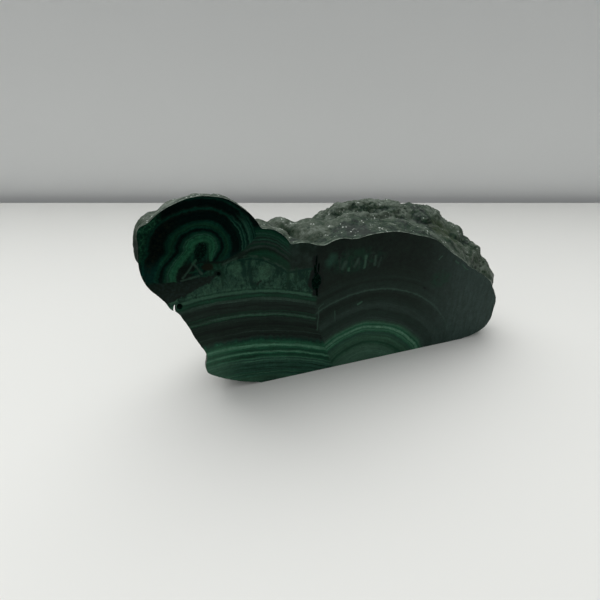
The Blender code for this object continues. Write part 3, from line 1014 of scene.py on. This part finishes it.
def skin_tones(place, axes, broad, middle):
    """The skin's colour: patches of dust over green, darker or paler in a few known places, with painted
    shade behind the terrace's edge and on the knob's left flank.
    """
    x, y, z = axes
    fine = grain(place, 2.0, 3.0, 0.7)
    top = z.rise(46.0, 55.0)
    front = top * x.rise(34.0, 44.0) * y.rise(24.0, 16.0)
    patchy = (broad - 0.5) * 0.9 + (middle - 0.5) * 0.8 + (fine - 0.5) * 0.4
    dust = patchy * (1.3 - top * 0.25) - front * 0.125 + x.rise(88.0, 93.0) * 0.07 + 0.03
    for centre, radii, amount in DUST_AND_SHADE_PATCHES:
        dust = dust + top * oval(x, y, centre, radii) * amount
    colour = bands(dust, [(-0.17, DEEP_GREEN_AND_SHADE), (-0.10, VERDIGRIS), (-0.04, SAGE), (0.04, DUST),
                                (0.09, DUST), (0.18, CHALK)])
    olive = oval(x, y, (94.0, 14.0), (9.0, 9.0)) * z.rise(34.0, 46.0)
    colour = blend(olive * middle.rise(0.35, 0.55) * 0.8, colour, OLIVE)
    beside_cut = (y + (middle - 0.5) * 8.0).rise(3.4, 1.0) * broad.rise(0.44, 0.53)
    colour = blend(beside_cut * 0.85, colour, VERDIGRIS)
    # painted shade: the knob's lower left flank is darkened towards deep green, and made rougher to dull
    # its sheen
    left_flank_shade = x.rise(-36.0, -39.0) * z.rise(74.0, 69.0) * y.rise(14.0, 4.0)
    return blend(left_flank_shade * 0.9, colour, DEEP_GREEN_AND_SHADE), fine, left_flank_shade


def skin_material():
    """Dusty grey-green skin: greener beside the cut, darkened in its creases as painted shade, with crystal
    glints painted as highlights.
    """
    material, surface, place, (x, y, z) = stone_material("botryoidal_skin")
    geometry = material.node_tree.nodes.new("ShaderNodeNewGeometry")
    bend = Field(geometry.outputs["Pointiness"])
    broad = grain(place, 0.10, 3.0, 0.6)
    middle = grain(place, 0.42, 4.0, 0.65)
    colour, fine, left_flank_shade = skin_tones(place, (x, y, z), broad, middle)
    # painted shade: creases, found by pointiness, are darkened towards deep green
    colour = blend(bend.rise(0.495, 0.465) * 0.70, colour, DEEP_GREEN_AND_SHADE)
    colour = blend(bend.rise(0.505, 0.535) * 0.6, colour, CHALK)
    waver = (middle - 0.5) * 7.0 + (broad - 0.5) * 6.0
    crest = on_crest(x, y, waver) * z.rise(38.0, 44.0) * (fine.rise(0.36, 0.56) * 0.45 + 0.55)
    colour = blend(crest * 0.9, colour, CHALK)
    # painted highlight: the chipped rim along the top of the cut is painted bright
    rim_highlight = y.rise(0.9, 0.4) * middle.rise(0.42, 0.53) * z.rise(12.0, 28.0)
    colour = blend(rim_highlight * x.rise(-33.0, -27.0), colour, RIM_HIGHLIGHT)
    # painted highlights: white specks in clusters stand for crystals catching the light, and are made
    # glossier
    sites = cells(place, 0.70) + (fine - 0.5) * 0.25
    clusters = (grain(place, 0.20, 3.0) + crest * 0.08).rise(0.53, 0.60)
    glint = sites.rise(0.27, 0.13) * clusters * z.rise(34.0, 56.0) * y.rise(46.0, 34.0)
    colour = blend(glint, colour, GLINT)
    roughness = 0.58 - middle * 0.25 - glint * 0.2 + left_flank_shade * 0.4
    finish_surface(surface, colour, roughness, SKIN_SPECULAR)
    return material


def foot_material():
    """The sawn foot: the same layers seen from below, dull and scored across by the saw."""
    material, surface, place, (x, y, _) = stone_material("sawn_foot")
    wander = (grain(place, 0.07, 3.0) - 0.5) * 7.0
    reach = ((x - 46.0).squared() * 0.30 + (y + 16.0).squared()).root() + wander
    rings = reach * 0.83 + 4.6
    colour = bands(rings.held(FOOT_LAYERS[0][0], FOOT_LAYERS[-1][0]), FOOT_LAYERS)
    lines = grain(point(rings, x * 0.03, 3.0), 1.2, 3.0, 0.6)
    scores = grain(point(x * 0.04, y * 1.6, 7.0), 1.0, 3.0, 0.6)
    grit = grain(place, 1.4, 4.0, 0.7)
    colour = shade(colour, (lines * 1.4 + 0.5) * (grit * 0.8 + 0.7))
    colour = blend(scores.rise(0.5, 0.72) * 0.5, colour, LICHEN)
    finish_surface(surface, colour, 0.42 + grit * 0.2, FOOT_SPECULAR)
    return material


def hollow_material():
    """The lining of the open hollows: near black, with small green crystals."""
    material, surface, place, _ = stone_material("vug_lining")
    crystals = cells(place, 1.3)
    grit = grain(place, 1.6, 3.0, 0.7)
    colour = bands(grit, [(0.35, INK), (0.55, BOTTLE), (0.70, MOSS)])
    colour = blend(crystals.rise(0.26, 0.14) * grit.rise(0.42, 0.55), colour, REED)
    finish_surface(surface, colour, LINING_ROUGHNESS, LINING_SPECULAR)
    return material


# ---- room, light and camera

def plain_material(name, colour, roughness):
    """An even, dull material for the stage."""
    material, surface = bare_material(name)
    finish_surface(surface, colour, roughness, STAGE_SPECULAR)
    return material


def stage_plane(name, low, high, material, foot):
    """A level or upright plane between two corners, given (right, ahead, up) of the camera's foot."""
    (left, near, bottom), (right, far, top) = low, high
    corners = [(left, near, bottom), (right, near, bottom), (right, far, top), (left, far, top)]
    bm = bmesh.new()
    bm.faces.new([bm.verts.new(vec(*corner)) for corner in corners])
    mesh = mesh_from(name, bm)
    mesh.materials.append(material)
    plane = new_object(name, mesh)
    plane.location = foot
    plane.rotation_euler.z = -math.radians(CAMERA_TURN)


def build_stage(foot):
    """The table and the wall behind it, square to the camera, whose foot is given."""
    table = plain_material("pale_table", TABLE_COLOUR, TABLE_ROUGHNESS)
    wall = plain_material("pale_wall", WALL_COLOUR, WALL_ROUGHNESS)
    side, back = TABLE_HALF_WIDTH, TABLE_FAR + WALL_GAP
    stage_plane("table", (-side, TABLE_NEAR, 0), (side, TABLE_FAR, 0), table, foot)
    stage_plane("wall", (-side, back, WALL_FOOT), (side, back, WALL_TOP), wall, foot)


def build_key_light():
    """A wide, soft lamp high behind the stone."""
    light = bpy.data.lights.new("key", "AREA")
    light.size = KEY_SIZE
    light.energy = KEY_POWER
    lamp = new_object("key", light)
    lamp.location = KEY_PLACE
    lamp.rotation_euler = (Vector(KEY_TARGET) - lamp.location).to_track_quat("-Z", "Y").to_euler()


def build_world():
    """Even soft light from above the horizon, and little from below it."""
    world = bpy.data.worlds.new("studio")
    bpy.context.scene.world = world
    world.use_nodes = True
    nodes, links = world.node_tree.nodes, world.node_tree.links
    direction = nodes.new("ShaderNodeTexCoord")
    split = nodes.new("ShaderNodeSeparateXYZ")
    fade = nodes.new("ShaderNodeMapRange")
    fade.inputs["From Min"].default_value = HORIZON[0]
    fade.inputs["From Max"].default_value = HORIZON[1]
    fade.inputs["To Min"].default_value = WORLD_BELOW
    fade.inputs["To Max"].default_value = WORLD_ABOVE
    links.new(direction.outputs["Generated"], split.inputs[0])
    links.new(split.outputs["Z"], fade.inputs["Value"])
    links.new(fade.outputs[0], nodes["Background"].inputs["Strength"])
    nodes["Background"].inputs["Color"].default_value = (*WORLD_COLOUR, 1.0)


def build_camera(place):
    """The camera at a place, looking down and turned to the right of the face's normal."""
    camera = bpy.data.cameras.new("camera")
    camera.lens = CAMERA_LENS
    camera.sensor_width = SENSOR
    camera.clip_start = MM
    eye = new_object("camera", camera)
    eye.location = place
    eye.rotation_euler = (math.radians(90 - CAMERA_DOWN), 0, -math.radians(CAMERA_TURN))
    bpy.context.scene.camera = eye


def main():
    """Loads the frame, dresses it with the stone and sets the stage."""
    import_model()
    low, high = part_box(NODE)
    placing = Vector((high.x, low.y, 0.0)) - vec(STONE_RIGHT, 0, 0)
    stone = build_stone()
    stone.location = placing
    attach(stone, "root")
    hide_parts(NODE)
    eye = vec(*CAMERA_PLACE) + placing
    build_stage(Vector((eye.x, eye.y, 0.0)))
    build_world()
    build_camera(eye)
    build_key_light()
    bpy.context.scene.view_settings.view_transform = "Standard"


main()
